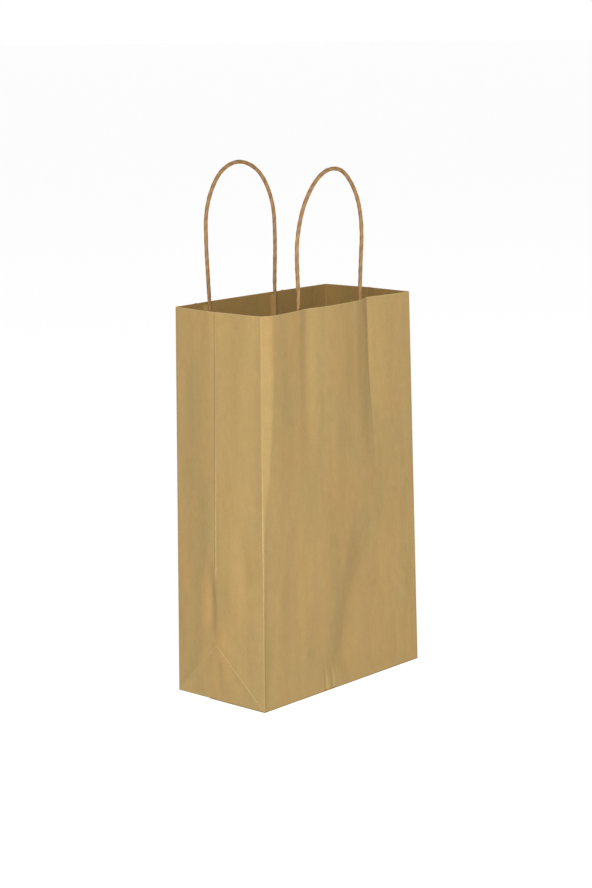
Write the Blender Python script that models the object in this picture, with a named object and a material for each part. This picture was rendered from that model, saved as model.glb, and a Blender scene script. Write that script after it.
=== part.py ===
"""A kraft paper gift bag: a block-bottomed bag with folding gussets and two twisted cord handles.

The origin is at the middle of the bottom. Z is up, X runs along the width, and the front faces -Y.
"""

import math

import bpy
from mathutils import Matrix, Vector

MM = 0.001

# The bag
WIDTH = 168 * MM
DEPTH = 82 * MM
HEIGHT = 272 * MM
SHEET = 0.3 * MM
GAP = 0.3 * MM

# The creases near the bottom lie half a depth up, as the bottom folds flat over the back
CREASE_Z = DEPTH / 2
BOTTOM_Z = 1.2 * MM
FOOT_Z = 1.8 * MM
TUCK_REACH = 38 * MM
OUTER_FLAP_REACH = 52 * MM
INNER_FLAP_REACH = 40 * MM
SEAM_WIDTH = 12 * MM
SEAM_INSET = 4 * MM

# The handles
CORD = 3.0 * MM
TAIL_CORD = 2.4 * MM
LEG_PITCH = 69 * MM
FRONT_RISE = 94 * MM
BACK_RISE = 97 * MM
FRONT_ARCH = 56 * MM
BACK_ARCH = 40 * MM
FRONT_LEAN = 5 * MM
PIVOT_RISE = 2.2 * MM
TAIL_TOP = 0.4 * MM
TAIL_LENGTH = 30 * MM
CORD_INSET = 2.4 * MM
HANDLE_CENTRE = -10 * MM
HANDLE_SHIFT = 3.5 * MM
PATCH_WIDTH = 102 * MM
PATCH_HEIGHT = 40 * MM
PATCH_DROP = 1.5 * MM
RIDGE_TOP = 1.0 * MM
RIDGE_FOOT = 3.4 * MM

# Where the hinges stand, measured from the outside of the bag
CORNER_X = WIDTH / 2 - SHEET
CORNER_Y = DEPTH / 2 - SHEET - GAP
CREASE_X = WIDTH / 2 + GAP / 2

COLORS = {
    "kraft": (0.47, 0.31, 0.13, 1),
    "kraft_inside": (0.40, 0.26, 0.11, 1),
    "cord": (0.48, 0.30, 0.15, 1),
}


def clear_scene():
    for item in list(bpy.data.objects):
        bpy.data.objects.remove(item, do_unlink=True)


def collection(name):
    made = bpy.data.collections.new(name)
    bpy.context.scene.collection.children.link(made)
    return made


def material(name, color, roughness):
    made = bpy.data.materials.new(name)
    made.use_nodes = True
    shader = made.node_tree.nodes["Principled BSDF"]
    shader.inputs["Base Color"].default_value = color
    shader.inputs["Roughness"].default_value = roughness
    return made


def finish(obj, color, roughness, parent):
    bag.objects.link(obj)
    obj.data.materials.append(material(obj.name, COLORS[color], roughness))
    if parent:
        obj.parent = parent
        obj.matrix_parent_inverse = parent.matrix_world.inverted()
    return obj


def pivot(name, point, parent=None):
    """An empty that stands on a joint's axis."""
    made = bpy.data.objects.new(name, None)
    made.empty_display_size = 8 * MM
    made.location = point
    bag.objects.link(made)
    bpy.context.view_layer.update()
    if parent:
        made.parent = parent
        made.matrix_parent_inverse = parent.matrix_world.inverted()
        bpy.context.view_layer.update()
    return made


def sheet(name, outline, origin, right, up, parent, color="kraft", thickness=SHEET):
    """A flat sheet: a filled outline in the plane of right and up, with its middle plane through origin."""
    curve = bpy.data.curves.new(name, "CURVE")
    curve.dimensions = "2D"
    curve.fill_mode = "BOTH"
    curve.extrude = thickness / 2
    spline = curve.splines.new("POLY")
    spline.points.add(len(outline) - 1)
    for point, (x, y) in zip(spline.points, outline):
        point.co = (x, y, 0, 1)
    spline.use_cyclic_u = True
    obj = bpy.data.objects.new(name, curve)
    right, up = Vector(right), Vector(up)
    turn = Matrix((right, up, right.cross(up))).transposed().to_4x4()
    obj.matrix_world = Matrix.Translation(origin) @ turn
    return finish(obj, color, 0.85, parent)


def rectangle(left, bottom, right, top):
    return [(left, bottom), (right, bottom), (right, top), (left, top)]


def cord(name, points, diameter, parent):
    """A round cord along a line of points."""
    curve = bpy.data.curves.new(name, "CURVE")
    curve.dimensions = "3D"
    curve.bevel_depth = diameter / 2
    curve.bevel_resolution = 2
    curve.use_fill_caps = True
    spline = curve.splines.new("POLY")
    spline.points.add(len(points) - 1)
    for point, place in zip(spline.points, points):
        point.co = (*place, 1)
    obj = bpy.data.objects.new(name, curve)
    return finish(obj, "cord", 0.9, parent)


def main_panel(name, side, bottom, parent):
    """A wide panel. side is -1 for the front and 1 for the back."""
    y = side * (DEPTH - SHEET) / 2
    outline = rectangle(-WIDTH / 2, bottom, WIDTH / 2, HEIGHT)
    return sheet(name, outline, (0, y, 0), (1, 0, 0), (0, 0, 1), parent)


def gusset_front(name, side, parent):
    """The front half of a gusset, down to the diagonal crease that ends in the front bottom corner."""
    edge, middle = -CORNER_Y, -GAP / 2
    diagonal = CREASE_Z + GAP
    outline = [
        (edge, BOTTOM_Z),
        (BOTTOM_Z - diagonal, BOTTOM_Z),
        (middle, diagonal + middle),
        (middle, HEIGHT),
        (edge, HEIGHT),
    ]
    x = side * (WIDTH - SHEET) / 2
    return sheet(name, outline, (x, 0, 0), (0, 1, 0), (0, 0, 1), parent)


def gusset_rear(name, side, parent):
    """The rear half of a gusset, down to the level crease."""
    outline = rectangle(GAP / 2, CREASE_Z + GAP, CORNER_Y, HEIGHT)
    x = side * (WIDTH - SHEET) / 2
    return sheet(name, outline, (x, 0, 0), (0, 1, 0), (0, 0, 1), parent)


def gusset_foot(name, side, parent):
    """The triangle at the foot of a gusset that folds in onto the bottom."""
    apex = CREASE_Z - GAP
    outline = [(FOOT_Z - apex, FOOT_Z), (apex - FOOT_Z, FOOT_Z), (0, apex)]
    x = side * (WIDTH - SHEET) / 2
    return sheet(name, outline, (x, 0, 0), (0, 1, 0), (0, 0, 1), parent)


def gusset_corner(name, side, parent):
    """The corner triangle behind the foot, which turns over with the strip of the back panel."""
    diagonal = CREASE_Z + GAP
    outline = [
        (diagonal - BOTTOM_Z, BOTTOM_Z),
        (CORNER_Y, BOTTOM_Z),
        (CORNER_Y, CREASE_Z - GAP),
        (2 * GAP, CREASE_Z - GAP),
    ]
    x = side * (WIDTH - SHEET) / 2
    return sheet(name, outline, (x, 0, 0), (0, 1, 0), (0, 0, 1), parent)


def bottom_sheet(name, outline, layer, parent, color="kraft"):
    """A sheet of the bottom. Layer 0 rests on the table."""
    z = SHEET / 2 + layer * (SHEET + GAP)
    return sheet(name, outline, (0, 0, z), (1, 0, 0), (0, 1, 0), parent, color)


def end_tuck(name, side, parent):
    """The end flap inside the bottom, with corners cut at 45 degrees."""
    outer = side * (WIDTH / 2 - SHEET - GAP)
    inner = outer - side * TUCK_REACH
    half = DEPTH / 2 - SHEET - GAP
    outline = [(outer, -half), (outer, half), (inner, half - TUCK_REACH), (inner, TUCK_REACH - half)]
    if side < 0:
        outline.reverse()
    return bottom_sheet(name, outline, 2, parent, "kraft_inside")


def handle_x(side):
    """The middle of a handle: the two are a little out of line, so that their loops cross as the bag folds."""
    return HANDLE_CENTRE - side * HANDLE_SHIFT


def handle_loop(name, side, height, arch, lean, parent):
    """The free loop of a handle, from hinge height up to its height above the rim and back down."""
    y = side * (DEPTH / 2 - CORD_INSET)
    base = HEIGHT + PIVOT_RISE
    half, middle = LEG_PITCH / 2, handle_x(side)
    rise = height - PIVOT_RISE - CORD / 2
    points = [(middle - half, y, base)]
    for n in range(49):
        angle = math.pi * n / 48
        z = rise - arch + arch * math.sin(angle)
        x = middle - half * math.cos(angle) + lean * (z / rise) ** 2
        points.append((x, y, base + z))
    points.append((middle + half, y, base))
    return cord(name, points, CORD, parent)


def handle_tail(name, side, end, parent):
    """The end of a handle's cord, held between the plies of the patch."""
    y = side * (DEPTH / 2 - CORD_INSET)
    x = handle_x(side) + end * LEG_PITCH / 2
    points = [(x, y, HEIGHT + TAIL_TOP), (x, y, HEIGHT - TAIL_LENGTH)]
    return cord(name, points, TAIL_CORD, parent)


def outer_ply(name, side, parent):
    """The flat ply of a patch, between the panel and the cord ends."""
    y = side * (DEPTH / 2 - SHEET - GAP - SHEET / 2)
    middle, half = handle_x(side), PATCH_WIDTH / 2
    top = HEIGHT - PATCH_DROP
    outline = rectangle(middle - half, top - PATCH_HEIGHT, middle + half, top)
    return sheet(name, outline, (0, y, 0), (1, 0, 0), (0, 0, 1), parent, "kraft_inside")


def inner_ply(name, side, parent):
    """The ply over the cord ends, pressed into a ridge along each of them."""
    low = 2 * (SHEET + GAP)
    high = CORD_INSET + TAIL_CORD / 2 + GAP
    line = [(-PATCH_WIDTH / 2, low)]
    for middle in (-LEG_PITCH / 2, LEG_PITCH / 2):
        line += [(middle - RIDGE_FOOT, low), (middle - RIDGE_TOP, high)]
        line += [(middle + RIDGE_TOP, high), (middle + RIDGE_FOOT, low)]
    line.append((PATCH_WIDTH / 2, low))
    outline = line + [(x, inset + SHEET) for x, inset in reversed(line)]
    middle_z = HEIGHT - PATCH_DROP - PATCH_HEIGHT / 2
    origin = (handle_x(side), side * DEPTH / 2, middle_z)
    right, up = (-side, 0, 0), (0, -side, 0)
    return sheet(name, outline, origin, right, up, parent, "kraft_inside", PATCH_HEIGHT)


clear_scene()
bag = collection("gift_bag")

# The front panel is the piece that all the others hang from
front = pivot("front_frame", (0, -DEPTH / 2, 0))
main_panel("front_panel", -1, BOTTOM_Z, front)

# Each gusset folds in at its middle, and the back panel rides on the left one
for word, side in (("left", -1), ("right", 1)):
    corner = pivot(f"{word}_front_corner", (side * CORNER_X, -CORNER_Y, 0), front)
    gusset_front(f"{word}_gusset_front", side, corner)
    crease = pivot(f"{word}_gusset_crease", (side * CREASE_X, 0, 0), corner)
    gusset_rear(f"{word}_gusset_rear", side, crease)
    if side < 0:
        back = pivot("back_left_corner", (-CORNER_X, CORNER_Y, 0), crease)

main_panel("back_panel", 1, CREASE_Z + GAP, back)
seam_x = CORNER_X - SEAM_INSET - SEAM_WIDTH / 2
seam_outline = rectangle(-SEAM_WIDTH / 2, CREASE_Z + GAP, SEAM_WIDTH / 2, HEIGHT - GAP)
seam_y = DEPTH / 2 - SHEET - GAP - SHEET / 2
sheet("side_seam", seam_outline, (seam_x, seam_y, 0), (1, 0, 0), (0, 0, 1), back, "kraft_inside")

# The foot of the back panel turns over about its level crease, with a corner triangle at each end
strip = pivot("back_strip_crease", (0, DEPTH / 2, CREASE_Z), back)
strip_outline = rectangle(-WIDTH / 2, BOTTOM_Z, WIDTH / 2, CREASE_Z - GAP)
strip_y = (DEPTH - SHEET) / 2
sheet("back_strip", strip_outline, (0, strip_y, 0), (1, 0, 0), (0, 0, 1), strip)
for word, side in (("left", -1), ("right", 1)):
    turn = pivot(f"{word}_corner_crease", (side * CORNER_X, CORNER_Y, 0), strip)
    gusset_corner(f"{word}_gusset_corner", side, turn)

# The bottom turns up about the front panel's lower edge
base = pivot("bottom_crease", (0, -DEPTH / 2, 0), front)
reach = OUTER_FLAP_REACH - DEPTH / 2
bottom_sheet("bottom_outer_flap", rectangle(-WIDTH / 2, -DEPTH / 2, WIDTH / 2, reach), 0, base)
reach = DEPTH / 2 - INNER_FLAP_REACH
bottom_sheet("bottom_inner_flap", rectangle(-WIDTH / 2, reach, WIDTH / 2, DEPTH / 2), 1, base)
for word, side in (("left", -1), ("right", 1)):
    end_tuck(f"{word}_end_tuck", side, base)
    turn = pivot(f"{word}_foot_crease", (side * CORNER_X, 0, FOOT_Z), base)
    gusset_foot(f"{word}_gusset_foot", side, turn)

# The handles, each with its cord ends between two plies of a patch
for word, side, panel, height, arch, lean in (
    ("front", -1, front, FRONT_RISE, FRONT_ARCH, FRONT_LEAN),
    ("back", 1, back, BACK_RISE, BACK_ARCH, 0),
):
    for place, end in (("left", -1), ("right", 1)):
        handle_tail(f"{word}_cord_end_{place}", side, end, panel)
    outer_ply(f"{word}_patch_outer_ply", side, panel)
    inner_ply(f"{word}_patch_inner_ply", side, panel)
    pivot_y = side * (DEPTH / 2 - CORD_INSET)
    hinge = pivot(f"{word}_handle_pivot", (handle_x(side), pivot_y, HEIGHT + PIVOT_RISE), panel)
    handle_loop(f"{word}_handle", side, height, arch, lean, hinge)
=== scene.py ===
"""Looks for the kraft paper gift bag: creased paper, glued patches, a folded bottom and twisted cords."""

import math

import bpy
from mathutils import Matrix, Vector, noise


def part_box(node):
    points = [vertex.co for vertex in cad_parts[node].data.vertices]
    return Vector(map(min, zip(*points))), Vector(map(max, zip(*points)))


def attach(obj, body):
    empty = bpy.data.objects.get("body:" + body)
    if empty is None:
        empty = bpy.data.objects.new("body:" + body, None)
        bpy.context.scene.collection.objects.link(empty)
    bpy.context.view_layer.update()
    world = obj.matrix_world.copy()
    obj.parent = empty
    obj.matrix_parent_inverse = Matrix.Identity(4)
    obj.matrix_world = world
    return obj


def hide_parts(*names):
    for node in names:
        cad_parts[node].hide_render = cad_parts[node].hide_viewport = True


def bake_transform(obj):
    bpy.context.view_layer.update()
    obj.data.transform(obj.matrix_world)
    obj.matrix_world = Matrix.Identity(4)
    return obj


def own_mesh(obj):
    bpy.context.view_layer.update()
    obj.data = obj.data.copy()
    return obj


MM = 0.001

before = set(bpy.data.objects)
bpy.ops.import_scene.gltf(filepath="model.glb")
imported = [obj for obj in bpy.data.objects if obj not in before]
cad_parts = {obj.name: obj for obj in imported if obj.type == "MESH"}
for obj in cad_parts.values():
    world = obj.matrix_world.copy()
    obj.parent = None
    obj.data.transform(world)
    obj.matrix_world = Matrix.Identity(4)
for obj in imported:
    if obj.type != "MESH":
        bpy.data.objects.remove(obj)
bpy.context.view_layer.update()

# Sizes from the frame
FRONT_LOW, FRONT_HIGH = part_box("front_panel")
WIDTH = FRONT_HIGH[0] - FRONT_LOW[0]
HEIGHT = FRONT_HIGH[2]
HALF_WIDTH = WIDTH / 2
HALF_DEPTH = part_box("back_panel")[1][1]
DEPTH = 2 * HALF_DEPTH
CREASE_Z = HALF_DEPTH
LOOP_TOP = {"front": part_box("front_handle")[1][2], "back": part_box("back_handle")[1][2]}

# Paper: its thickness, the bottom's layers, and where the walls start above the floor
SHEET = 0.3 * MM
PLY_STEP = 0.6 * MM
PANEL_FOOT = 0.35 * MM

# The mesh's steps: over a sheet, from each edge in millimetres, and the least of all
GRID = 2.4 * MM
EDGE_STEPS = (0.25, 0.6, 1.2, 2.4)
LEAST_STEP = 0.2 * MM

# The strip of the front that turns to the side beside the near corner
STRIP_WIDTH = 6.4 * MM
STRIP_LEAST = 0.4 * MM
STRIP_SLOPE = 0.60
STRIP_BEND = 0.8 * MM

# Dents and swellings of the front. Places are shares of its width, from the near corner
FOLD_PLACE = 0.735
FOLD_SLANT = 0.02
FOLD_DEPTH = 6.2 * MM
CHANNEL_PLACE = 0.285
CHANNEL_DEPTH = 1.8 * MM
CROWN_PLACE = 0.50
CROWN_HEIGHT = 1.6 * MM
HOLLOW_PLACE = 0.345
HOLLOW_SLANT = 0.545
HOLLOW_DEPTH = 3.6 * MM
BRUISE_PLACES = (0.385, 0.428)
BRUISE_DEPTHS = (0.80 * MM, 0.72 * MM)
BRUISE_WIDTH = 0.008
BRUISE_HEIGHT = 20 * MM

# How far the gussets' middle crease stands out at the triangle, at the kink above it and at the rim
KINK_Z = 0.345 * HEIGHT
APEX_OUT = 4.0 * MM
KINK_OUT = 4.8 * MM
RIM_OUT = 2.8 * MM

# How wide a line along a folded edge is: a worn line, a painted highlight, and a painted shade line
FOLD_LINE_WIDTH = 0.45 * MM

# The handles. The cord is a little thinner, and its loops a little lower, than in the frame.
# Of each loop: its middle along x, half its width, the height of its arch, how far its top leans
# along x, and how far its left leg is bent inwards at the rim
CORD_RADIUS = 1.5 * MM
DRAWN_RADIUS = 1.38 * MM
CORD_INSET = 2.4 * MM
LOOP_DROP = 1.2 * MM
TAIL_LENGTH = 30 * MM
HANDLE = {
    "front": {"middle": -6.5 * MM, "half": 36.3 * MM, "arch": 53 * MM, "lean": 5 * MM, "pinch": 0},
    "back": {"middle": -15 * MM, "half": 37.5 * MM, "arch": 44 * MM, "lean": -2 * MM, "pinch": 2.4 * MM},
}
PATCH_HALF = 51 * MM
PATCH_HEIGHT = 40 * MM
PATCH_GAP = 1.5 * MM
OUTER_INSET = 0.5 * MM
INNER_INSET = 1.0 * MM
RIDGE_HEIGHT = 2.3 * MM
RIDGE_WIDTH = 2.1 * MM

# Each uneven surface has its own stretch of noise
SEED = {
    "front": 1.7,
    "front_fine": 8.1,
    "back": 14.2,
    "gusset": 21.3,
    "seam": 3.3,
    "bottom": 5.5,
    "patch": 9,
    "cord_bend": 31.0,
    "cord_fuzz": 41.0,
    "cord_slip": 47.0,
}

# The camera stands where the bag shows its gusset on the left and its front on the right
CAMERA_AZIMUTH = -48.39
CAMERA_ELEVATION = 12.17
CAMERA_ROLL = -0.75
CAMERA_DISTANCE = 1.5147
CAMERA_LENS = 86.53
CAMERA_SHIFT = (-0.0031, 0.0517)

# The camera's distance and the lights are measured from the bag's middle
AIM = Vector((0, 0, HEIGHT / 2))
LIGHT_COLOR = (1.0, 0.985, 0.96)

# The paper bows, so each corner of the mouth stands a little off the straight box: along x and y
MOUTH = {
    (-1, 1): (4.1 * MM, -1.7 * MM),
    (-1, -1): (0, -2.1 * MM),
    (1, -1): (-3.4 * MM, 4.7 * MM),
    (1, 1): (-2.9 * MM, 1.7 * MM),
}

# Colours as linear red, green and blue
KRAFT_WARM = (0.325, 0.210, 0.078)
KRAFT_COOL = (0.298, 0.209, 0.080)
# Lighter colour for worn edges and creases, and for the painted highlights along folds
KRAFT_WEAR_AND_HIGHLIGHT = (0.52, 0.39, 0.205)
# Darkens the inner faces and the pieces inside the bag: painted shade
INSIDE_PAINTED_SHADE = (0.76, 0.70, 0.58)
# The cord's tones: a painted lit side and a painted shaded side of one paper, mixed by the twist and at
# random
CORD_PAINTED_LIT = (0.335, 0.188, 0.074)
CORD_PAINTED_SHADE = (0.150, 0.084, 0.034)
PAPER_SHEEN = 0.25


def clamp(value, low=0.0, high=1.0):
    return max(low, min(high, value))


def smooth(value):
    """Eases from 0 to 1, and stays at 0 or 1 outside."""
    value = clamp(value)
    return value * value * (3 - 2 * value)


def bell(distance, width):
    """1 at no distance, falling to almost 0 at twice the width."""
    return math.exp(-((distance / width) ** 2))


def wobble(across, up, seed, size):
    """Slow unevenness, from about -1 to 1, longer up the sheet than across it."""
    return noise.noise(Vector((across / size, up / (2.6 * size), seed))) * 1.6


# ---------------------------------------------------------------- the shape of the paper


def mouth_shift(x, y, z):
    """How far the bowed paper stands off the straight box, growing from the bottom to the rim."""
    u, w = clamp((x + HALF_WIDTH) / WIDTH), clamp((y + HALF_DEPTH) / DEPTH)
    share = clamp(z / HEIGHT)
    total = Vector((0, 0, 0))
    for (right, rear), (across, deep) in MOUTH.items():
        weight = (u if right > 0 else 1 - u) * (w if rear > 0 else 1 - w)
        total += Vector((across, deep, 0)) * weight * share
    return total


def corner_strip(u, v):
    """A narrow strip beside the near corner turns to the side, wider towards the rim."""
    inward = u * WIDTH
    border = STRIP_WIDTH * smooth((v - 0.30) / 0.55) + STRIP_LEAST
    rise = STRIP_SLOPE * (inward + border - math.hypot(inward - border, STRIP_BEND)) / 2
    upwards = smooth((v - 0.15) / 0.45)
    across = 1 - 0.5 * smooth((u - 0.05) / 0.15) - 0.5 * smooth((u - 0.20) / 0.80)
    return rise * (upwards * across)


def handle_fold(u, v):
    """The handle's pull leaves a fold line right of its right leg, which dies out below."""
    fold = FOLD_PLACE + FOLD_SLANT * (1 - v)
    if u < fold:
        dent = clamp(1 - (fold - u) / 0.12) ** 1.35
    else:
        dent = clamp(1 - (u - fold) / 0.22) ** 1.6
    return -FOLD_DEPTH * dent * smooth((v - 0.48) / 0.40)


def low_hollow(u, v):
    """A broad hollow low down with a slanting left side, and softer swells beside it."""
    slant = u - HOLLOW_PLACE - HOLLOW_SLANT * (v - 0.06)
    hollow = -HOLLOW_DEPTH * smooth(slant / 0.17) * (1 - smooth((slant - 0.16) / 0.40))
    hollow *= smooth(v / 0.09) * (1 - smooth((v - 0.30) / 0.20))
    hollow += 1.4 * MM * bell(u - 0.42, 0.09) * bell(v - 0.40, 0.20)
    hollow -= 1.3 * MM * bell(u - 0.20, 0.06) * bell(v - 0.24, 0.12)
    return hollow


def bruises(u, z):
    """Two short dents side by side at the bottom edge."""
    dents = zip(BRUISE_PLACES, BRUISE_DEPTHS)
    total = sum(depth * bell(u - place, BRUISE_WIDTH) for place, depth in dents)
    return -total * (1 - smooth(z / BRUISE_HEIGHT))


def front_relief(x, z):
    """How far the front panel stands out of its plane. u and v run across and up it, from 0 to 1."""
    u, v = (x + HALF_WIDTH) / WIDTH, z / HEIGHT
    channel = -CHANNEL_DEPTH * bell(u - CHANNEL_PLACE, 0.040) * smooth((v - 0.50) / 0.35)
    crown = CROWN_HEIGHT * bell(u - CROWN_PLACE, 0.10) * smooth((v - 0.45) / 0.4)
    uneven = 0.65 * MM * wobble(x, z, SEED["front"], 24 * MM)
    uneven += 0.16 * MM * wobble(x, z, SEED["front_fine"], 9 * MM)
    far_side = smooth((1 - u) / 0.08)
    inner = smooth(u / 0.03) * smooth((1 - u) / 0.04) * smooth(z / (14 * MM))
    pulled = (handle_fold(u, v) + channel + crown) * far_side
    return corner_strip(u, v) + pulled + (low_hollow(u, v) + uneven) * inner + bruises(u, z)


def back_relief(x, z):
    """How far the back, with the strip below its fold, stands out of its plane."""
    u, v = (x + HALF_WIDTH) / WIDTH, z / HEIGHT
    bow = 1.2 * MM * math.sin(math.pi * clamp(u)) * smooth((v - 0.35) / 0.6)
    crease = -0.15 * MM * bell(z - CREASE_Z, 0.6 * MM)
    inner = smooth(u / 0.05) * smooth((1 - u) / 0.05)
    off_folds = smooth(abs(z - CREASE_Z) / (12 * MM)) * smooth(z / (10 * MM))
    uneven = 0.45 * MM * wobble(x, z, SEED["back"], 28 * MM)
    return bow + crease + uneven * inner * off_folds


def gusset_swell(z):
    """How far the middle crease stands out."""
    if z < CREASE_Z:
        return APEX_OUT
    if z < KINK_Z:
        return APEX_OUT + (KINK_OUT - APEX_OUT) * smooth((z - CREASE_Z) / (KINK_Z - CREASE_Z))
    return KINK_OUT + (RIM_OUT - KINK_OUT) * smooth((z - KINK_Z) / (HEIGHT - KINK_Z))


def gusset_relief(side, y, z):
    """How far a gusset stands out of its plane: a ridge at the middle crease, soft below its kink."""
    below_kink = 1 - smooth((z - KINK_Z + 6 * MM) / (8 * MM))
    rounding = 0.25 * MM + 3.0 * MM * below_kink
    rounding *= smooth((z - CREASE_Z) / (12 * MM))
    away = math.hypot(y, rounding) - rounding * (1 - abs(y) / HALF_DEPTH)
    tent = clamp(1 - away / HALF_DEPTH)
    out = gusset_swell(z) * min(tent, z / CREASE_Z)
    above = z - (CREASE_Z - abs(y))
    # Soft dents and a swell around the kink, then the pressed diagonals
    out -= 2.4 * MM * bell(y - 5.5 * MM, 4.5 * MM) * bell(z - 0.26 * HEIGHT, 0.08 * HEIGHT)
    out += 1.4 * MM * bell(y + 14 * MM, 8 * MM) * bell(z - 0.27 * HEIGHT, 0.07 * HEIGHT)
    out -= 1.4 * MM * bell(y + 24 * MM, 6 * MM) * bell(z - 0.36 * HEIGHT, 0.07 * HEIGHT)
    out -= 0.10 * MM * bell(above, 0.8 * MM)
    off_folds = smooth((HALF_DEPTH - abs(y)) / (6 * MM)) * smooth(abs(above) / (9 * MM))
    off_folds *= smooth(abs(y) / (5 * MM)) * smooth(z / (10 * MM))
    uneven = 0.8 * MM * wobble(y, z, SEED["gusset"] + side, 20 * MM)
    return out + uneven * off_folds


# ---------------------------------------------------------------- building sheets


def stations(low, high, step=GRID):
    """Places across a sheet, closer together near both ends."""
    near = [d * MM for d in EDGE_STEPS if d * MM < (high - low) / 3]
    margin = near[-1] if near else 0
    inner_low, inner_high = low + margin, high - margin
    count = max(1, round((inner_high - inner_low) / step))
    middle = [inner_low + (inner_high - inner_low) * n / count for n in range(count + 1)]
    low_end = [low] + [low + d for d in near[:-1]]
    high_end = [high - d for d in reversed(near[:-1])] + [high]
    return low_end + middle + high_end


def even(low, high, step):
    """Evenly spaced places."""
    count = round((high - low) / step)
    return [low + step * n for n in range(count + 1)]


def merged(*lists):
    """Places from several lists in order, without any two too close together."""
    kept = []
    for spot in sorted(set().union(*lists)):
        if not kept or spot - kept[-1] >= LEAST_STEP:
            kept.append(spot)
    return kept


def level(z):
    """A straight end of a sheet."""
    return lambda across: z


def paper(node, body, across, low, high, place, painted_light_and_wear_at=None, look="kraft"):
    """A sheet of paper with a cut edge all round, in the place of a node.

    across lists the places across it. low and high give its ends at each of them. place turns
    (across, up, depth) into a point, with depth 0 on the face that shows and minus inside.
    The function after place gives how each point is painted: above 0 lighter, for worn edges and painted
    highlights, below 0 darker, for painted shade.
    """
    tallest = max(high(a) - low(a) for a in across)
    ups = [z / tallest for z in stations(0, tallest)]
    # Each point keeps its painted highlight, painted shade and worn lightening, and whether it lies on
    # the inside, which is painted darker as shade
    verts, painted_light_and_wear, inside = [], [], []
    for depth in (0, -SHEET):
        for a in across:
            start, end = low(a), high(a)
            for t in ups:
                z = start + (end - start) * t
                verts.append(place(a, z, depth))
                painted_light_and_wear.append(painted_light_and_wear_at(a, z) if painted_light_and_wear_at else 0.0)
                inside.append(1.0 if depth or look == "kraft_inside" else 0.0)
    rows, cols = len(ups), len(across)
    layer = rows * cols

    def edge_face(a, b, turned):
        """A face of the cut edge, which joins the two layers."""
        return (a, layer + a, layer + b, b) if turned else (a, b, layer + b, layer + a)

    faces = []
    for i in range(cols - 1):
        for k in range(rows - 1):
            a = i * rows + k
            b = a + rows
            faces.append((a, b, b + 1, a + 1))
            faces.append((layer + a, layer + a + 1, layer + b + 1, layer + b))
    for i in range(cols - 1):
        for k in (0, rows - 1):
            a = i * rows + k
            faces.append(edge_face(a, a + rows, k == 0))
    for k in range(rows - 1):
        for i in (0, cols - 1):
            a = i * rows + k
            faces.append(edge_face(a, a + 1, i > 0))
    mesh = bpy.data.meshes.new(f"{node}_sheet")
    mesh.from_pydata([tuple(v) for v in verts], [], faces)
    mesh.validate()
    store(mesh, "painted_light_and_wear", painted_light_and_wear)
    store(mesh, "inside", inside)
    return dress(f"{node}_sheet", mesh, body, [node], look)


def store(mesh, name, values):
    mesh.attributes.new(name, "FLOAT", "POINT").data.foreach_set("value", values)


def dress(name, mesh, body, replaced, look):
    """Turns the faces outwards, smooths them, and puts the piece on its body if it has one."""
    volume = sum(mesh.vertices[p.vertices[0]].co.dot(p.normal) * p.area for p in mesh.polygons)
    if volume < 0:
        mesh.flip_normals()
    mesh.shade_smooth()
    mesh.set_sharp_from_angle(angle=math.radians(50))
    mesh.materials.append(MATERIALS[look])
    obj = bpy.data.objects.new(name, mesh)
    bpy.context.scene.collection.objects.link(obj)
    if body:
        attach(obj, body)
    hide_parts(*replaced)
    return obj


def flatten_panel(sheet, side):
    """Gives the panel a mesh of its own."""
    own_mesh(sheet)


def flatten_gusset(sheet, side):
    """Gives a part of a gusset a mesh of its own."""
    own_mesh(sheet)


def round_off(distance):
    """A folded edge falls away over its last 0.7 mm."""
    near = clamp(1 - distance / (0.7 * MM))
    return -0.25 * MM * near * near


# ---------------------------------------------------------------- materials


class Nodes:
    """A short way to write a node tree."""

    def __init__(self, name):
        self.material = bpy.data.materials.new(name)
        self.material.use_nodes = True
        self.tree = self.material.node_tree
        self.shader = self.tree.nodes["Principled BSDF"]

    def add(self, kind, inputs=None, **settings):
        node = self.tree.nodes.new(kind)
        for key, value in settings.items():
            setattr(node, key, value)
        for key, value in (inputs or {}).items():
            self.put(value, node.inputs[key])
        return node

    def put(self, value, socket):
        if isinstance(value, bpy.types.NodeSocket):
            self.tree.links.new(value, socket)
        else:
            socket.default_value = value

    def math(self, operation, first, second=0.0):
        return self.add("ShaderNodeMath", {0: first, 1: second}, operation=operation).outputs[0]

    def noise(self, scale, detail, stretch):
        """Noise over the piece's own coordinates, in features per metre."""
        place = self.add("ShaderNodeTexCoord").outputs["Object"]
        mapping = self.add("ShaderNodeMapping", {"Vector": place, "Scale": stretch})
        inputs = {"Vector": mapping.outputs[0], "Scale": scale, "Detail": detail, "Roughness": 0.6}
        return self.add("ShaderNodeTexNoise", inputs).outputs["Fac"]

    def spread(self, value, low=0.3, high=0.7, to_low=0.0, to_high=1.0):
        """Turns low to high into to_low to to_high. Noise lies mostly between 0.3 and 0.7."""
        inputs = {"Value": value, "From Min": low, "From Max": high, "To Min": to_low, "To Max": to_high}
        return self.add("ShaderNodeMapRange", inputs).outputs[0]

    def attribute(self, name):
        return self.add("ShaderNodeAttribute", attribute_name=name).outputs["Fac"]

    def scaled(self, color, factor):
        """A colour made lighter or darker by a factor."""
        return self.add("ShaderNodeVectorMath", {0: color, 3: factor}, operation="SCALE").outputs[0]

    def mix(self, factor, first, second):
        node = self.add("ShaderNodeMix", data_type="RGBA")
        for index, value in ((0, factor), (6, first), (7, second)):
            if isinstance(value, tuple) and len(value) == 3:
                value = (*value, 1)
            self.put(value, node.inputs[index])
        return node.outputs[2]

    def bump(self, height, distance, strength, normal=None):
        inputs = {"Height": height, "Distance": distance, "Strength": strength}
        if normal:
            inputs["Normal"] = normal
        return self.add("ShaderNodeBump", inputs).outputs[0]


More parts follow.
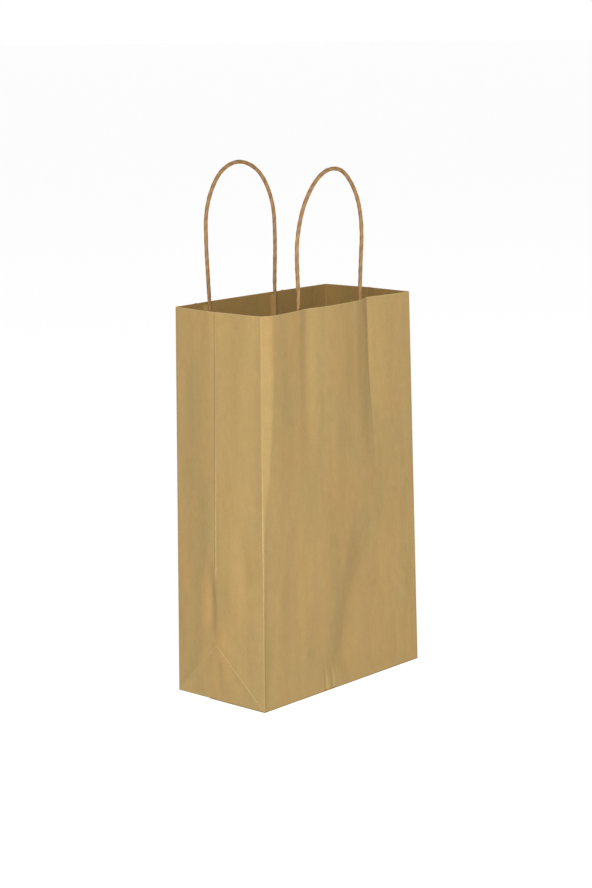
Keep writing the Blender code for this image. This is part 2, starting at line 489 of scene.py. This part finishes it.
def kraft_paper(name):
    """Uncoated brown paper: pulp streaks, cloudy formation, loose fibres, worn creases, painted
    highlights and painted shade along folds, and painted shade on the inside.
    """
    n = Nodes(name)
    streaks = n.spread(n.noise(scale=120, detail=4, stretch=(1, 1, 0.06)))
    clouds = n.spread(n.noise(scale=32, detail=3, stretch=(1, 1, 0.45)))
    mottle = n.spread(n.noise(scale=210, detail=4, stretch=(1, 1, 0.6)))
    pulp = n.spread(n.noise(scale=1300, detail=3, stretch=(1, 1, 0.45)))
    hue = n.mix(clouds, KRAFT_COOL, KRAFT_WARM)
    light = n.math("ADD", n.math("MULTIPLY", streaks, 0.06), n.math("MULTIPLY", mottle, 0.08))
    light = n.math("ADD", light, n.math("MULTIPLY", pulp, 0.09))
    light = n.math("ADD", light, 0.885)
    color = n.scaled(hue, light)
    fibres = n.spread(n.noise(scale=520, detail=2, stretch=(1, 1, 0.16)), 0.66, 0.76)
    color = n.mix(n.math("MULTIPLY", fibres, 0.22), color, tuple(c * 1.25 for c in KRAFT_WARM))
    flecks = n.spread(n.noise(scale=640, detail=1, stretch=(0.5, 0.5, 1)), 0.76, 0.80)
    color = n.mix(n.math("MULTIPLY", flecks, 0.25), color, tuple(c * 0.6 for c in KRAFT_COOL))
    # Lighter where the paper is worn and where painted highlights lie along the folds
    painted_light_and_wear = n.attribute("painted_light_and_wear")
    gaps = n.spread(n.noise(scale=420, detail=3, stretch=(1, 1, 1)), 0.3, 0.6, 0.35, 1.0)
    broken_wear_and_highlight = n.math("MULTIPLY", painted_light_and_wear, gaps)
    color = n.mix(n.spread(broken_wear_and_highlight, 0, 1), color, KRAFT_WEAR_AND_HIGHLIGHT)
    # Darker where painted shade lies beside a crease
    color = n.mix(n.spread(painted_light_and_wear, 0, -1), color, tuple(c * 0.45 for c in KRAFT_COOL))
    # The inner faces and the inside pieces are multiplied by a darker tone: painted shade
    shaded = n.add("ShaderNodeMix", data_type="RGBA", blend_type="MULTIPLY")
    n.put(n.attribute("inside"), shaded.inputs[0])
    n.put(color, shaded.inputs[6])
    n.put((*INSIDE_PAINTED_SHADE, 1), shaded.inputs[7])
    n.put(shaded.outputs[2], n.shader.inputs["Base Color"])
    n.put(n.spread(clouds, 0, 1, 0.72, 0.84), n.shader.inputs["Roughness"])
    n.shader.inputs["Specular IOR Level"].default_value = PAPER_SHEEN
    fine = n.bump(pulp, 0.05 * MM, 0.5)
    cockle = n.bump(n.noise(scale=60, detail=3, stretch=(1, 1, 0.35)), 0.5 * MM, 0.35, fine)
    n.put(cockle, n.shader.inputs["Normal"])
    return n.material


def paper_cord(name):
    """Twisted paper cord: a painted lit tone and a painted shaded tone, painted shade in the grooves of
    its twist, and short torn fibres.
    """
    n = Nodes(name)
    strand_shading = n.attribute("painted_light_and_wear")
    grain = n.spread(n.noise(scale=900, detail=4, stretch=(1, 1, 0.5)))
    blotch = n.spread(n.noise(scale=120, detail=3, stretch=(1, 1, 1)))
    # The strand height darkens the twist's grooves: painted shade
    height = n.math("ADD", n.math("MULTIPLY", strand_shading, 0.42), n.math("MULTIPLY", grain, 0.22))
    height = n.math("ADD", height, n.math("MULTIPLY", blotch, 0.36))
    n.put(n.mix(height, CORD_PAINTED_SHADE, CORD_PAINTED_LIT), n.shader.inputs["Base Color"])
    n.put(n.spread(grain, 0, 1, 0.7, 0.88), n.shader.inputs["Roughness"])
    n.shader.inputs["Specular IOR Level"].default_value = PAPER_SHEEN
    n.put(n.bump(grain, 0.12 * MM, 0.6), n.shader.inputs["Normal"])
    return n.material


MATERIALS = {
    "kraft": kraft_paper("kraft_paper"),
    "kraft_inside": kraft_paper("kraft_inside_paper"),
    "cord": paper_cord("paper_cord"),
}


# ---------------------------------------------------------------- the panels


def rim_wear(z):
    return 0.45 * bell(HEIGHT - z, 0.35 * MM)


def corner_wear(distance):
    return 0.12 * bell(distance, FOLD_LINE_WIDTH)


def front_painted_light_and_wear(x, z):
    """The near corner has a light line, partly worn and mostly painted highlight, strongest a little
    above a third of its height; low down a dark line of painted shade lies beside it. The far corner is
    only a little lighter, from being worn.
    """
    # A light line along the near corner: partly worn, mostly painted highlight
    near = bell(x + HALF_WIDTH, FOLD_LINE_WIDTH) * (0.10 + 0.42 * bell(z - 0.38 * HEIGHT, 0.18 * HEIGHT))
    low_share = 1 - smooth((z / HEIGHT - 0.10) / 0.25)
    # A dark line of painted shade beside the near corner, low down
    shade = 0.60 * bell(x + HALF_WIDTH - 1.1 * MM, 0.5 * MM) * low_share
    return near - shade + corner_wear(HALF_WIDTH - x) + rim_wear(z)


def back_wear(x, z):
    return corner_wear(HALF_WIDTH - abs(x)) + rim_wear(z) + 0.3 * bell(z - CREASE_Z, 0.5 * MM)


def panel_place(side):
    relief = front_relief if side < 0 else back_relief

    def place(x, z, depth):
        out = relief(x, z) + round_off(HALF_WIDTH - abs(x)) + depth
        if side < 0:
            out += round_off(z - PANEL_FOOT)
        return Vector((x, side * (HALF_DEPTH + out), z)) + mouth_shift(x, side * HALF_DEPTH, z)

    return place


def main_panels():
    columns = stations(-HALF_WIDTH, HALF_WIDTH)
    # More places where the front's strip, its fold line and its bruises are
    strip = even(-HALF_WIDTH + 0.6 * MM, -HALF_WIDTH + 14 * MM, 0.6 * MM)
    fold = even(0.19 * WIDTH, 0.29 * WIDTH, 0.8 * MM)
    bruised = even(-0.14 * WIDTH, -0.05 * WIDTH, 0.6 * MM)
    front_columns = merged(columns, strip, fold, bruised)
    sheets = (
        ("front_panel", "front", front_columns, PANEL_FOOT, HEIGHT, -1, front_painted_light_and_wear),
        ("back_panel", "back", columns, CREASE_Z, HEIGHT, 1, back_wear),
        ("back_strip", "back_foot", columns, PANEL_FOOT, CREASE_Z, 1, back_wear),
    )
    for node, body, across, low, high, side, painted_light_and_wear_at in sheets:
        sheet = paper(node, body, across, level(low), level(high), panel_place(side), painted_light_and_wear_at)
        flatten_panel(sheet, side)


def gusset_place(side):
    def place(y, z, depth):
        out = gusset_relief(side, y, z) + round_off(HALF_DEPTH - abs(y)) + depth
        if z < CREASE_Z:
            out += round_off(z - PANEL_FOOT)
        return Vector((side * (HALF_WIDTH + out), y, z)) + mouth_shift(side * HALF_WIDTH, y, z)

    return place


def over_diagonal(y):
    return max(PANEL_FOOT, CREASE_Z - abs(y))


def under_diagonal(y):
    return CREASE_Z - abs(y) + 0.1 * MM


def gusset_painted_light_and_wear(y, z):
    """The middle crease gets a dark line of painted shade, with a line of painted highlight beside it,
    from the rim down to its kink, strongest just above the kink, and a painted highlight spot at the
    kink. The diagonals get faint painted highlights, stronger on the front half. The corners and the rim
    are worn lighter.
    """
    slant = z - (CREASE_Z - abs(y))
    # Faint painted highlights along the pressed diagonals, stronger on the front half
    diagonal_highlights = bell(slant, FOLD_LINE_WIDTH) * (0.45 if y < 0 else 0.15)
    upper = smooth((z - KINK_Z) / (3 * MM))
    # A dark line of painted shade along the middle crease, and a painted highlight beside it, from the
    # rim down to the kink
    shade = 0.55 * bell(y - 0.15 * MM, 0.35 * MM) * upper
    low_share = 1 - smooth((z / HEIGHT - 0.45) / 0.3)
    light = bell(y + 0.7 * MM, 0.5 * MM) * upper * (0.12 + 0.45 * low_share)
    # A painted highlight spot at the kink
    kink = 0.6 * bell(z - KINK_Z, 2.2 * MM) * bell(y + 0.6 * MM, 0.9 * MM)
    return diagonal_highlights + light + kink + corner_wear(HALF_DEPTH - abs(y)) - shade + rim_wear(z)


def gussets():
    # The sheets reach into the panels' thickness, so that no light comes through a corner
    reach = HALF_DEPTH - 0.2 * MM
    front_part, rear_part, whole = stations(-reach, 0), stations(0, reach), stations(-reach, reach)
    top, crease, foot = level(HEIGHT), level(CREASE_Z), level(PANEL_FOOT)
    past_crease = level(CREASE_Z + 0.05 * MM)
    for word, side in (("left", -1), ("right", 1)):
        sheets = (
            (f"{word}_gusset_front", f"{word}_gusset_front_half", front_part, over_diagonal, top),
            (f"{word}_gusset_rear", f"{word}_gusset_rear_half", rear_part, crease, top),
            (f"{word}_gusset_corner", f"{word}_corner", rear_part, over_diagonal, past_crease),
            (f"{word}_gusset_foot", f"{word}_foot", whole, foot, under_diagonal),
        )
        for node, body, across, low, high in sheets:
            sheet = paper(node, body, across, low, high, gusset_place(side), gusset_painted_light_and_wear)
            flatten_gusset(sheet, side)


def glued_ripple(across, up, seed):
    """Glued layers never lie quite even."""
    return 0.09 * MM * wobble(across, up, seed, 7 * MM)


def seam():
    """The glued flap behind the back right corner."""
    low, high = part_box("side_seam")

    def place(x, z, depth):
        inset = SHEET + 0.15 * MM - glued_ripple(x, z, SEED["seam"])
        spot = Vector((x, HALF_DEPTH + back_relief(x, z) - inset - SHEET - depth, z))
        return spot + mouth_shift(x, HALF_DEPTH, z)

    across = stations(low[0], high[0], 3 * MM)
    sheet = paper("side_seam", "back", across, level(low[2]), level(high[2]), place, look="kraft_inside")
    flatten_panel(sheet, 1)


def bottom_wear(x, y):
    return 0.5 * bell(HALF_DEPTH - abs(y), 0.6 * MM)


def bottom_layer(node, order, across, low, high, look="kraft"):
    """A sheet of the bottom. Its across runs along x and its up along y."""

    def place(x, y, depth):
        ripple = glued_ripple(x, y, SEED["bottom"] + order)
        return Vector((x, y, order * PLY_STEP + clamp(ripple, 0, 0.2 * MM) - depth))

    paper(node, "bottom", across, low, high, place, bottom_wear, look)


def tuck_side(outer, half, side):
    """One slanted side of an end tuck, which gets narrower away from its outer edge."""
    return lambda x: side * (half - abs(x - outer))


def bottom():
    """The bottom, seen from below and from inside: two flaps, and an end tuck at each side."""
    across = stations(-HALF_WIDTH, HALF_WIDTH, 4 * MM)
    for order, node in enumerate(("bottom_outer_flap", "bottom_inner_flap")):
        low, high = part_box(node)
        bottom_layer(node, order, across, level(low[1]), level(high[1]))
    for word in ("left", "right"):
        node = f"{word}_end_tuck"
        low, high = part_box(node)
        outer = low[0] if word == "left" else high[0]
        front, rear = tuck_side(outer, high[1], -1), tuck_side(outer, high[1], 1)
        bottom_layer(node, 2, stations(low[0], high[0], 3 * MM), front, rear, "kraft_inside")


# ---------------------------------------------------------------- the handles


def patches(word, side):
    """Two plies glued inside the panel. The inner one shows a ridge over each end of the cord."""
    relief = front_relief if side < 0 else back_relief
    body = "front" if side < 0 else "back"
    middle, half = HANDLE[word]["middle"], HANDLE[word]["half"]
    top = HEIGHT - PATCH_GAP
    cords = [middle + end * half for end in (-1, 1)]
    ridges = [cord + n * 0.5 * MM for cord in cords for n in range(-9, 10)]
    columns = merged(stations(middle - PATCH_HALF, middle + PATCH_HALF), ridges)

    def ridge(x, z):
        height = RIDGE_HEIGHT * sum(bell(x - cord, RIDGE_WIDTH) for cord in cords)
        return height * smooth((z - HEIGHT + TAIL_LENGTH + 3 * MM) / (4 * MM))

    def ply(node, inset, raised):
        def place(x, z, depth):
            flat = inset + SHEET + depth + glued_ripple(x, z, SEED["patch"] + side + inset / MM)
            if raised:
                flat += ridge(x, z)
            spot = Vector((x, side * (HALF_DEPTH + relief(x, z) - flat), z))
            return spot + mouth_shift(x, side * HALF_DEPTH, z)

        def upper(x):
            """The back's outer ply peeps over the rim in two places."""
            if side < 0 or raised:
                return top
            past = abs(abs(x - middle) - PATCH_HALF + 3 * MM)
            return top + 2.2 * MM * bell(past, 2.5 * MM)

        sheet = paper(node, body, columns, level(top - PATCH_HEIGHT), upper, place, look="kraft_inside")
        flatten_panel(sheet, side)

    ply(f"{word}_patch_outer_ply", OUTER_INSET, False)
    ply(f"{word}_patch_inner_ply", INNER_INSET, True)


def cord_route(word, side):
    """Points along a handle's cord, from one end under the patch, over the loop, to the other end."""
    relief = front_relief if side < 0 else back_relief
    facts = HANDLE[word]
    middle, half, arch, lean = facts["middle"], facts["half"], facts["arch"], facts["lean"]
    rise = LOOP_TOP[word] - CORD_RADIUS - HEIGHT - LOOP_DROP
    route = []

    def add(x, z):
        """The legs start on the bowed panel and stand free of it higher up."""
        share = 1 - smooth((z - HEIGHT) / (45 * MM))
        bend = 0.4 * MM * wobble(x, z, SEED["cord_bend"] + side, 16 * MM)
        bend *= smooth((z - HEIGHT) / (12 * MM))
        if x < middle:
            bend += facts["pinch"] * (1 - smooth((z - HEIGHT) / (42 * MM)))
        on_panel = clamp(z, HEIGHT - TAIL_LENGTH, HEIGHT)
        y = side * (HALF_DEPTH - CORD_INSET + relief(x, on_panel) * share)
        route.append(Vector((x + bend, y, z)) + mouth_shift(x, side * HALF_DEPTH, HEIGHT))

    legs = rise - arch
    step = 0.7 * MM
    leg_points = round((TAIL_LENGTH + legs) / step)
    arch_points = round(math.pi * (arch + half) / 2 / step)
    heights = [-TAIL_LENGTH + (TAIL_LENGTH + legs) * n / leg_points for n in range(leg_points)]
    for z in heights:
        add(middle - half + lean * (max(z, 0) / rise) ** 2, HEIGHT + z)
    for n in range(arch_points + 1):
        angle = math.pi * n / arch_points
        z = legs + arch * math.sin(angle)
        add(middle - half * math.cos(angle) + lean * (z / rise) ** 2, HEIGHT + z)
    for z in reversed(heights):
        add(middle + half + lean * (max(z, 0) / rise) ** 2, HEIGHT + z)
    return route


def cord(word, side):
    """One twisted cord, bent at the rim between the panel and the free loop."""
    route = cord_route(word, side)
    around, strands, lay = 20, 2, 15 * MM
    verts, strand_shading, travelled = [], [], 0.0
    for i, point in enumerate(route):
        ahead = route[min(i + 1, len(route) - 1)]
        behind = route[max(i - 1, 0)]
        travelled += (point - behind).length if i else 0
        along = (ahead - behind).normalized()
        sideways = Vector((0, 1, 0)).cross(along).normalized()
        outward = along.cross(sideways)
        # Under the patch and at the rim the cord is pressed flatter
        flat = 1 - 0.3 * (1 - smooth((point.z - HEIGHT - 1 * MM) / (7 * MM)))
        fuzz = 1 + 0.06 * wobble(travelled, 0, SEED["cord_fuzz"] + side, 5 * MM)
        slip = 3 * MM * wobble(travelled, 0, SEED["cord_slip"] + side, 14 * MM)
        turn = 2 * math.pi * (travelled + slip) / lay
        for n in range(around):
            angle = 2 * math.pi * n / around
            height = (0.5 + 0.5 * math.cos(strands * (angle - turn))) ** 0.6
            radius = DRAWN_RADIUS * (0.94 + 0.06 * height) * fuzz
            offset = sideways * math.cos(angle) * radius / flat ** 0.3
            offset += outward * math.sin(angle) * radius * flat
            verts.append(point + offset)
            # Kept for the painted shade in the twist's grooves
            strand_shading.append(height)
    faces = []
    for i in range(len(route) - 1):
        for n in range(around):
            a, b = i * around + n, i * around + (n + 1) % around
            faces.append((a, b, b + around, a + around))
    faces.append(tuple(reversed(range(around))))
    last = (len(route) - 1) * around
    faces.append(tuple(range(last, last + around)))
    mesh = bpy.data.meshes.new(f"{word}_cord")
    mesh.from_pydata([tuple(v) for v in verts], [], faces)
    store(mesh, "painted_light_and_wear", strand_shading)
    replaced = [f"{word}_handle", f"{word}_cord_end_left", f"{word}_cord_end_right"]
    obj = dress(f"{word}_cord", mesh, None, replaced, "cord")
    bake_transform(obj)


main_panels()
gussets()
seam()
bottom()
for handle_word, handle_side in (("front", -1), ("back", 1)):
    patches(handle_word, handle_side)
    cord(handle_word, handle_side)


# ---------------------------------------------------------------- floor, light and camera


def stage_set():
    """A white floor that glows a little, so that it has almost no shadow."""
    reach, under = 60, -0.05 * MM
    corners = [(reach * x, reach * y, under) for x, y in ((-1, -1), (1, -1), (1, 1), (-1, 1))]
    mesh = bpy.data.meshes.new("floor")
    mesh.from_pydata(corners, [], [(0, 1, 2, 3)])
    material = bpy.data.materials.new("floor_white")
    material.use_nodes = True
    inputs = material.node_tree.nodes["Principled BSDF"].inputs
    inputs["Base Color"].default_value = (0.25, 0.25, 0.25, 1)
    inputs["Emission Color"].default_value = (1, 1, 1, 1)
    inputs["Emission Strength"].default_value = 0.90
    inputs["Roughness"].default_value = 0.9
    inputs["Specular IOR Level"].default_value = 0.1
    mesh.materials.append(material)
    floor = bpy.data.objects.new("floor", mesh)
    bpy.context.scene.collection.objects.link(floor)


def toward(azimuth, elevation):
    """The direction from the bag to something that stands at these angles, in degrees."""
    a, e = math.radians(azimuth), math.radians(elevation)
    return Vector((math.sin(a) * math.cos(e), -math.cos(a) * math.cos(e), math.sin(e)))


def area_light(name, azimuth, elevation, distance, size, power):
    light = bpy.data.lights.new(name, "AREA")
    light.shape, light.size, light.energy = "DISK", size, power
    light.color = LIGHT_COLOR
    obj = bpy.data.objects.new(name, light)
    back = toward(azimuth, elevation)
    obj.location = AIM + back * distance
    obj.rotation_euler = back.to_track_quat("Z", "Y").to_euler()
    bpy.context.scene.collection.objects.link(obj)


def studio_light():
    world = bpy.data.worlds.new("studio")
    world.use_nodes = True
    background = world.node_tree.nodes["Background"]
    background.inputs["Color"].default_value = (1, 1, 1, 1)
    # White at the horizon, where the floor ends, and dimmer overhead
    direction = world.node_tree.nodes.new("ShaderNodeTexCoord").outputs["Generated"]
    parts = world.node_tree.nodes.new("ShaderNodeSeparateXYZ")
    fade = world.node_tree.nodes.new("ShaderNodeMapRange")
    for socket, value in (("From Min", 0.04), ("From Max", 0.20), ("To Min", 1.0), ("To Max", 0.25)):
        fade.inputs[socket].default_value = value
    world.node_tree.links.new(direction, parts.inputs[0])
    world.node_tree.links.new(parts.outputs["Z"], fade.inputs["Value"])
    world.node_tree.links.new(fade.outputs[0], background.inputs["Strength"])
    bpy.context.scene.world = world
    area_light("key", azimuth=-47, elevation=22, distance=2.2, size=0.6, power=54)
    area_light("fill", azimuth=60, elevation=50, distance=2.6, size=2.0, power=3)
    bpy.context.scene.view_settings.view_transform = "Standard"


def camera():
    data = bpy.data.cameras.new("camera")
    data.lens = CAMERA_LENS
    data.shift_x, data.shift_y = CAMERA_SHIFT
    obj = bpy.data.objects.new("camera", data)
    back = toward(CAMERA_AZIMUTH, CAMERA_ELEVATION)
    roll = math.radians(CAMERA_ROLL)
    right = (-back).cross(Vector((0, 0, 1))).normalized()
    up = right.cross(-back)
    turned = right * math.cos(roll) + up * math.sin(roll)
    upright = up * math.cos(roll) - right * math.sin(roll)
    axes = Matrix((turned, upright, back)).transposed().to_4x4()
    obj.matrix_world = Matrix.Translation(AIM + back * CAMERA_DISTANCE) @ axes
    bpy.context.scene.collection.objects.link(obj)
    bpy.context.scene.camera = obj


stage_set()
studio_light()
camera()
